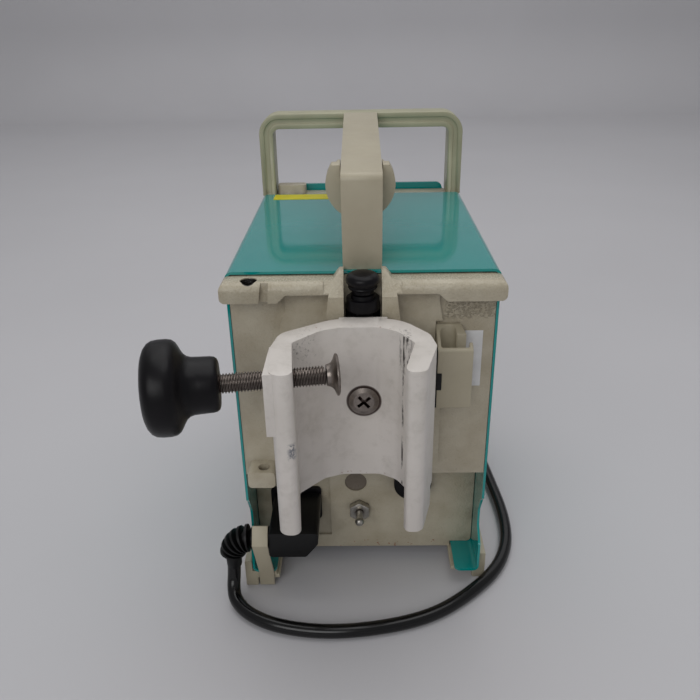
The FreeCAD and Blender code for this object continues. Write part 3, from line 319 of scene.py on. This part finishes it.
def scuffed_coat(name, colour, dark):
    """White powder coat: fine grain, a rubbed line inside the right arm, scratches and rust specks."""
    g = Graph(name)
    tone = g.mix(g.ramp(g.noise(30, 4), 0.35, 0.72), colour, dark)
    dust = g.ramp(g.noise(120, 5, 0.7), 0.5, 0.75)
    tone = g.mix(g.math("MULTIPLY", dust, 0.35), tone, srgb(168, 162, 152))
    # Painted shade: corners and crevices darkened from ambient occlusion, in patches like grime.
    corner_shade_and_grime = g.math("MULTIPLY", g.corner_shade(0.01), g.ramp(g.noise(160, 4), 0.4, 0.65))
    tone = g.mix(g.math("MULTIPLY", corner_shade_and_grime, 0.4), tone, srgb(108, 102, 94))
    line = g.inside((0, 20.2, 21.0), (1, -140, -122), (2, 114, 205), soft=0.15)
    line = g.math("MULTIPLY", line, g.ramp(g.noise(240, 4, 0.7, (1, 1, 0.35)), 0.44, 0.56))
    smear = g.inside((0, 19, 24), (1, -142, -122), (2, 184, 206), soft=0.8)
    smear = g.math("MULTIPLY", smear, g.ramp(g.noise(420, 4, 0.75, (1, 1, 0.3)), 0.5, 0.6))
    marks = g.math("MAXIMUM", line, smear)
    scrape = g.inside((0, -36.6, -33.2), (1, -180, -162), (2, 159.5, 168), soft=0.9)
    scrape = g.math("MULTIPLY", scrape, g.ramp(g.noise(460, 4, 0.75), 0.45, 0.52))
    worn = g.inside((0, -36, -24), (1, -142, -118), (2, 186, 206), soft=2.5)
    worn = g.math("MULTIPLY", worn, g.ramp(g.noise(150, 3), 0.45, 0.6))
    specks = g.math("MULTIPLY", worn, g.ramp(g.noise(700, 5, 0.8), 0.55, 0.62, 0, 0.7))
    tone = g.mix(g.math("MAXIMUM", marks, specks), tone, srgb(58, 54, 52))
    tone = g.mix(g.math("MULTIPLY", scrape, 0.75), tone, srgb(70, 78, 96))
    # Painted shade: the recess round the pivot screw and a thin ring at its mouth darkened.
    pivot_recess_shade = g.math("MULTIPLY", g.round_spot(0, 2, PIVOT, 9.6, 0.3), g.inside((1, -125, -105)))
    tone = g.mix(pivot_recess_shade, tone, srgb(66, 52, 46))
    low_edge = g.inside((0, -18, 23), (2, 113, 115.6), soft=0.5)
    top_edge = g.inside((0, -30, 24), (1, -126, -116), (2, 204.8, 206), soft=0.3)
    rust = g.math("MULTIPLY", g.math("MAXIMUM", low_edge, top_edge), g.ramp(g.noise(420, 4), 0.64, 0.7))
    tone = g.mix(g.math("MULTIPLY", rust, 0.7), tone, srgb(138, 84, 62))
    bump = g.bump(g.noise(430, 3, 0.6), 0.16, 0.0003)
    bump = g.bump(g.math("MAXIMUM", marks, specks), 0.4, -0.0003, bump)
    g.set(Base_Color=tone, Roughness=g.ramp(g.noise(45, 4, 0.6), 0.3, 0.7, 0.3, 0.48), Normal=bump)
    return g.material


def moulded(name, colour, dark, rough=0.42, grain=700, depth=0.18, sheen=0.5):
    """Moulded plastic with a fine grain and slight unevenness of tone."""
    g = Graph(name)
    tone = g.mix(g.ramp(g.noise(34, 4), 0.35, 0.72), colour, dark)
    # Painted shade: corners and crevices darkened from ambient occlusion, in patches like grime.
    corner_shade_and_grime = g.math("MULTIPLY", g.corner_shade(0.01), g.ramp(g.noise(160, 4), 0.4, 0.65))
    tone = g.mix(g.math("MULTIPLY", corner_shade_and_grime, 0.35), tone, tuple(v * 0.45 for v in dark))
    fine = g.noise(grain, 3, 0.6)
    patch = g.noise(45, 4, 0.6)
    g.set(Base_Color=tone, Roughness=g.ramp(patch, 0.3, 0.7, rough - 0.06, rough + 0.1),
          Normal=g.bump(fine, depth, 0.0003))
    g.set(Specular_IOR_Level=sheen)
    return g.material


def gloss_paint(name, colour, dark):
    """Smooth teal enamel with a faint orange peel, fine scratches and smudges."""
    g = Graph(name)
    tone = g.mix(g.ramp(g.noise(26, 3), 0.3, 0.7), colour, dark)
    smudge = g.ramp(g.noise(26, 5, 0.65), 0.5, 0.72, 0.07, 0.26)
    scratch = g.noise(60, 6, 0.75, (1, 14, 8))
    # A darker streaky patch on the teal top, left of the handle arm.
    dark_teal_patch = g.inside((0, -26, -6), (1, -52, -30), (2, 225, 227), soft=6)
    dark_teal_patch = g.math("MULTIPLY", dark_teal_patch, g.ramp(g.noise(70, 5, 0.7, (0.6, 2, 1)), 0.5, 0.66))
    tone = g.mix(g.math("MULTIPLY", dark_teal_patch, 0.75), tone, srgb(28, 62, 58))
    g.set(Base_Color=tone, Roughness=smudge,
          Normal=g.bump(scratch, 0.03, 0.0003, g.bump(g.noise(150, 2), 0.03, 0.0004)))
    g.set(Coat_Weight=0.6, Coat_Roughness=0.04)
    return g.material


def metal(name, colour, rough):
    """Bare metal with fine wear, darker in corners and crevices as painted shade."""
    g = Graph(name)
    wear = g.noise(260, 5, 0.7)
    tone = g.mix(g.ramp(wear, 0.3, 0.7), colour, tuple(v * 0.6 for v in colour))
    # Painted shade: corners and crevices darkened from ambient occlusion.
    tone = g.mix(g.corner_shade(0.003, 0.45, 0.8), tone, srgb(52, 34, 30))
    g.set(Base_Color=tone, Metallic=1.0, Roughness=g.ramp(wear, 0.3, 0.7, rough, rough + 0.18),
          Normal=g.bump(wear, 0.12, 0.0003))
    return g.material


def label_paper(name, colour, shade):
    """Blank label stock."""
    g = Graph(name)
    tone = g.mix(g.ramp(g.noise(90, 4), 0.35, 0.7), colour, shade)
    g.set(Base_Color=tone, Roughness=0.5, Normal=g.bump(g.noise(500, 2), 0.05, 0.0002))
    return g.material


def pane(name, colour, rough, alpha):
    """Window plastic with a slight haze."""
    g = Graph(name)
    haze = g.ramp(g.noise(70, 4), 0.4, 0.8, rough, rough + 0.1)
    g.set(Base_Color=colour, Roughness=haze, Alpha=alpha)
    g.set(Coat_Weight=0.4)
    return g.material


CREAM = srgb(188, 180, 160)
CREAM_DARK = srgb(172, 162, 140)
FINISHES = {
    "teal_paint": gloss_paint("teal_enamel", srgb(0, 145, 141), srgb(0, 140, 137)),
    "cream_paint": wrinkle_paint("cream_wrinkle", CREAM, CREAM_DARK),
    "cream_plastic": moulded("cream_moulding", srgb(181, 173, 151), srgb(172, 163, 141)),
    "handle_plastic": moulded("handle_moulding", srgb(172, 170, 142), srgb(158, 155, 128), 0.36, 800, 0.1),
    "dark_plate": moulded("dark_plate", srgb(70, 68, 64), srgb(50, 48, 45), 0.5),
    "white_paint": scuffed_coat("white_coat", srgb(214, 208, 202), srgb(204, 198, 191)),
    "steel": metal("steel", srgb(196, 192, 184), 0.24),
    "screw_steel": metal("screw_steel", srgb(150, 141, 134), 0.26),
    "brass": metal("brass", srgb(205, 175, 110), 0.25),
    "aluminium": metal("aluminium", srgb(190, 191, 194), 0.35),
    "black_plastic": moulded("black_moulding", srgb(15, 13, 17), srgb(9, 8, 10), 0.34, 500, 0.12, 0.2),
    "black_rubber": moulded("black_rubber", srgb(13, 13, 14), srgb(8, 8, 9), 0.4, 600, 0.1, 0.3),
    "white_label": label_paper("white_label", srgb(225, 225, 226), srgb(205, 205, 205)),
    "yellow_label": label_paper("yellow_label", srgb(214, 204, 18), srgb(200, 188, 14)),
    "grey_plastic": moulded("grey_moulding", srgb(120, 122, 124), srgb(105, 107, 108)),
    "white_plastic": moulded("white_moulding", srgb(225, 224, 218), srgb(208, 206, 198)),
    "clear_pane": pane("clear_pane", srgb(215, 222, 224), 0.04, 0.2),
    "dark_pane": pane("dark_pane", srgb(36, 42, 46), 0.07, 0.82),
    "board_green": moulded("board_green", srgb(30, 96, 52), srgb(22, 78, 42), 0.35),
    "green_key": moulded("green_key", srgb(50, 140, 74), srgb(42, 124, 64)),
    "red_key": moulded("red_key", srgb(178, 44, 38), srgb(160, 36, 32)),
}


def dress():
    """Give every CAD node the finish of its slot in the record, but the pivot screw a duller steel."""
    for part in frame["record"]["subparts"]:
        node = NODES[part["node"]]
        finish = "screw_steel" if part["node"] == "pivot_screw" else part["material_slot"]
        node.data.materials.clear()
        node.data.materials.append(FINISHES[finish])


dress()
mains_lead.data.materials.append(
    moulded("cord_sheath", srgb(12, 12, 13), srgb(7, 7, 8), 0.17, 420, 0.05, 0.4))


# ---------------------------------------------------------------- softened copies of the CAD pieces
SLOT = {part["node"]: part["material_slot"] for part in frame["record"]["subparts"]}


def new_piece(name, mesh, node, finish=None):
    """A piece that rides with a CAD node's body, in that node's slot and finish or one of its own."""
    piece = bpy.data.objects.new(name, mesh)
    bpy.context.scene.collection.objects.link(piece)
    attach(piece, NODES[node]["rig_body"])
    mesh.materials.append(FINISHES[finish or SLOT[node]])
    return piece


def smooth(mesh, angle):
    """Shade a mesh smooth but for edges sharper than an angle."""
    for face in mesh.polygons:
        face.use_smooth = True
    mesh.set_sharp_from_angle(angle=math.radians(angle))


def soften(node, width, collapse=False):
    """The CAD node's shape with its sharp edges rounded; collapse takes out faces too thin to see."""
    mesh = NODES[node].data.copy()
    mesh.materials.clear()
    work = bmesh.new()
    work.from_mesh(mesh)
    bmesh.ops.remove_doubles(work, verts=work.verts, dist=1e-6)
    bmesh.ops.dissolve_limit(work, angle_limit=math.radians(0.6), verts=work.verts, edges=work.edges)
    work.normal_update()
    edges = [e for e in work.edges if len(e.link_faces) == 2 and
             e.calc_face_angle(0) > math.radians(38)]
    bmesh.ops.bevel(work, geom=edges, offset=width * MM, segments=2, profile=0.5,
                    affect="EDGES", clamp_overlap=True)
    if collapse:
        bmesh.ops.dissolve_degenerate(work, dist=2e-6, edges=work.edges)
    bmesh.ops.triangulate(work, faces=[f for f in work.faces if len(f.verts) > 4])
    clean = bpy.data.meshes.new(node + "_shape")
    work.to_mesh(clean)
    work.free()
    smooth(clean, 32)
    piece = new_piece(node + "_shape", clean, node)
    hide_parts(node)
    return piece


# ---------------------------------------------------------------- turned pieces
TURNED_SIDES = 72
BOOT_SIDES = 40


def cross_axes(way):
    """Two directions across a third."""
    side = way.cross(Vector((0, 0, 1)) if abs(way.z) < 0.9 else Vector((1, 0, 0))).normalized()
    return side, way.cross(side).normalized()


def skin(rings):
    """A mesh through rings of points with equal counts, its ends capped."""
    work = bmesh.new()
    rows = [[work.verts.new(point * MM) for point in points] for points in rings]
    count = len(rows[0])
    for first, second in zip(rows, rows[1:]):
        for i in range(count):
            following = (i + 1) % count
            work.faces.new((first[i], first[following], second[following], second[i]))
    work.faces.new(rows[0][::-1])
    work.faces.new(rows[-1])
    bmesh.ops.recalc_face_normals(work, faces=work.faces)
    mesh = bpy.data.meshes.new("skin")
    work.to_mesh(mesh)
    work.free()
    return mesh


def ring(centre, way, radius, count):
    """Points of a circle square to a direction."""
    side, other = cross_axes(way)
    angles = [2 * math.pi * i / count for i in range(count)]
    return [centre + side * (radius * math.cos(angle)) + other * (radius * math.sin(angle))
            for angle in angles]


def lathe(node, origin, way, profile, finish=None):
    """A turned piece that takes a CAD node's place: profile of (distance along the axis, radius)."""
    mesh = skin([ring(origin + way * along, way, radius, TURNED_SIDES) for along, radius in profile])
    mesh.name = node + "_turned"
    smooth(mesh, 30)
    piece = new_piece(node + "_turned", mesh, node, finish)
    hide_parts(node)


SCREW_START = Vector((-12.4, -147.5, 193))
SCREW_WAY = Vector((-math.cos(math.radians(8.5)), -math.sin(math.radians(8.5)), 0))
PITCH = 1.5


def threaded_screw():
    """The clamp screw with its thread cut as a helix."""
    side, other = cross_axes(SCREW_WAY)
    count, low, high = 40, 5.9, 78.2
    flanks = ((0.0, 4.16), (0.14, 4.16), (0.44, 4.96), (0.56, 4.96), (0.86, 4.16))
    rings = []
    turns = int((high - low) / PITCH)
    for turn in range(turns):
        for share, radius in flanks:
            row = []
            for i in range(count):
                angle = 2 * math.pi * i / count
                along = low + (turn + share + i / count) * PITCH
                row.append(SCREW_START + SCREW_WAY * along + side * (radius * math.cos(angle)) +
                           other * (radius * math.sin(angle)))
            rings.append(row)
    work = bmesh.new()
    rows = [[work.verts.new(point * MM) for point in row] for row in rings]
    last = len(rows)
    step = len(flanks)
    for r in range(last - 1):
        for i in range(count - 1):
            work.faces.new((rows[r][i], rows[r][i + 1], rows[r + 1][i + 1], rows[r + 1][i]))
    for r in range(last - 1 - step):
        work.faces.new((rows[r][count - 1], rows[r + step][0], rows[r + step + 1][0],
                        rows[r + 1][count - 1]))
    bmesh.ops.holes_fill(work, edges=[edge for edge in work.edges if edge.is_boundary])
    bmesh.ops.recalc_face_normals(work, faces=work.faces)
    mesh = bpy.data.meshes.new("clamp_screw_thread")
    work.to_mesh(mesh)
    work.free()
    smooth(mesh, 25)
    piece = new_piece("clamp_screw_thread", mesh, "clamp_screw", finish="screw_steel")
    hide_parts("clamp_screw")


def boot():
    """Ribbed cable boot: a root, wedge-shaped ribs round the bend, and a tail."""
    centre, bend = Vector((-74.6, -95, 34.5)), 12
    rings = []
    leave = Vector((-1, 0, 0))
    for x, radius in ((-61.6, 6.6), (-61.8, 7.4), (-73.2, 7.4), (-74.2, 6.2)):
        rings.append(ring(Vector((x, -95, 46.5)), leave, radius, BOOT_SIDES))
    ribs = 6
    for i in range(ribs):
        base = 15 * i
        large = 9.0 - 0.08 * i
        for turn, radius in ((base + 3.4, 4.6), (base + 3.8, large - 0.6), (base + 4.8, large),
                             (base + 9.4, large), (base + 10.4, large - 0.6), (base + 10.8, 4.6)):
            angle = math.radians(turn)
            middle = centre + Vector((-math.sin(angle), 0, math.cos(angle))) * bend
            way = Vector((-math.cos(angle), 0, -math.sin(angle)))
            rings.append(ring(middle, way, radius, BOOT_SIDES))
    for z, radius in ((34, 5.2), (30, 5.1), (25.2, 4.9), (24.6, 4.7)):
        rings.append(ring(Vector((-86.6, -95, z)), Vector((0, 0, -1)), radius, BOOT_SIDES))
    mesh = skin(rings)
    mesh.name = "strain_relief_ribbed"
    smooth(mesh, 40)
    piece = new_piece("strain_relief_ribbed", mesh, "strain_relief")
    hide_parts("strain_relief")


KNOB_PROFILE = (
    (58.1, 5.1), (58, 5.4), (58, 11.4), (58.5, 12.5), (59.6, 13.3), (61.5, 13.7), (67, 13.9), (70.6, 14.1),
    (72.6, 14.7), (74.2, 16), (75.5, 18), (76.5, 20), (77.6, 21.8), (79.2, 23), (81.6, 23.5), (85.6, 23.5),
    (88.4, 23.1), (90.4, 22), (92, 20), (93, 17.6), (93.6, 14.5), (93.9, 9), (94, 0.5))
PAD_PROFILE = (
    (0.1, 0.5), (0, 9.6), (0.25, 10.3), (0.8, 10.6), (1.4, 10.3), (1.9, 9.0), (2.5, 7.6), (3.3, 6.5),
    (4.3, 5.8), (5.3, 5.5), (6, 5.3), (6, 0.5))
PULL_KNOB_PROFILE = (
    (216.9, 2.6), (216.9, 5.6), (217.2, 6), (218.8, 6), (219.3, 6.5), (219.6, 7.5), (220.3, 7.9),
    (220.9, 7.6), (221.3, 7.2), (221.9, 7.3), (222.3, 8.3), (223.2, 9), (224.6, 9.3), (225.8, 9),
    (226.9, 8.1), (227.8, 6.6), (228.4, 4.9), (228.8, 2.8), (229, 0.5))
PLUNGER = Vector((0, -98.3, 0))
UPWARD = Vector((0, 0, 1))

lathe("clamp_knob", SCREW_START, SCREW_WAY, KNOB_PROFILE)
lathe("clamp_pad", SCREW_START, SCREW_WAY, PAD_PROFILE, "screw_steel")
lathe("pull_knob", PLUNGER, UPWARD, PULL_KNOB_PROFILE)
threaded_screw()
boot()

for node_name, rounding in (
        ("rear_casting", 0.8), ("front_casting", 1.2), ("front_handle", 1.6), ("top_handle", 1.6),
        ("handle_disc", 0.8), ("clamp_jaw", 0.5), ("sensor_pocket", 0.5), ("angle_plug", 1.0),
        ("plug_strap", 0.4), ("left_foot_rail", 0.6), ("right_foot_rail", 0.6), ("swivel_plate", 0.5),
        ("front_fascia", 0.8), ("pump_door", 0.8), ("door_latch", 0.5), ("head_plate", 0.5),
        ("plunger_housing", 0.6), ("ground_nut", 0.35), ("call_socket", 0.5), ("pocket_bumper", 0.2),
        ("rotor", 0.5), ("pressure_track", 0.6), ("start_key", 0.6), ("stop_key", 0.6),
        ("up_key", 0.6), ("down_key", 0.6), ("inlet_socket", 0.4)):
    soften(node_name, rounding, collapse=node_name in ("front_handle", "top_handle"))
plug = soften("mains_plug", 1.2)


# ---------------------------------------------------------------- stage
def make_stage():
    """Pale floor that sweeps up into a pale wall well behind the pump."""
    near, bend_start, bend, wall_top, steps = -2.5, 2.1, 0.3, 3.0, 12
    work = bmesh.new()
    profile = [(near, 0.0), (bend_start, 0.0)]
    for i in range(1, steps + 1):
        turn = math.radians(90 * i / steps)
        profile.append((bend_start + bend * math.sin(turn), bend * (1 - math.cos(turn))))
    profile.append((bend_start + bend, wall_top))
    rows = [[work.verts.new((x, y, z)) for y, z in profile] for x in (-3, 3)]
    for i in range(len(profile) - 1):
        work.faces.new((rows[0][i], rows[1][i], rows[1][i + 1], rows[0][i + 1]))
    mesh = bpy.data.meshes.new("sweep")
    work.to_mesh(mesh)
    work.free()
    smooth(mesh, 60)
    sweep = bpy.data.objects.new("sweep", mesh)
    bpy.context.scene.collection.objects.link(sweep)
    g = Graph("sweep")
    g.set(Base_Color=g.mix(g.noise(3, 2), srgb(192, 191, 194), srgb(200, 199, 202)), Roughness=0.55)
    mesh.materials.append(g.material)


def lamp(name, place, target, size, power):
    """A soft rectangular light aimed at a point."""
    data = bpy.data.lights.new(name, "AREA")
    data.shape = "RECTANGLE"
    data.size, data.size_y = size
    data.energy = power
    light = bpy.data.objects.new(name, data)
    light.location = place
    light.rotation_euler = (Vector(target) - Vector(place)).to_track_quat("-Z", "Y").to_euler()
    bpy.context.scene.collection.objects.link(light)


def light_scene():
    """An even room with soft lamps overhead, in front and over the far floor."""
    world = bpy.data.worlds.new("soft_room")
    world.use_nodes = True
    world.node_tree.nodes["Background"].inputs["Color"].default_value = (0.80, 0.80, 0.82, 1)
    world.node_tree.nodes["Background"].inputs["Strength"].default_value = 0.35
    bpy.context.scene.world = world
    lamp("ceiling", (0.1, 0.1, 1.5), (0, 0, 0), (1.6, 1.2), 9)
    lamp("front", (-0.5, -1.5, 1.0), (0, 0, 0.12), (1.2, 0.8), 8)
    lamp("far", (0, 1.5, 1.5), (0, 1.4, 0), (3.2, 1.4), 8)


make_stage()
light_scene()
bpy.context.scene.view_settings.view_transform = "Standard"
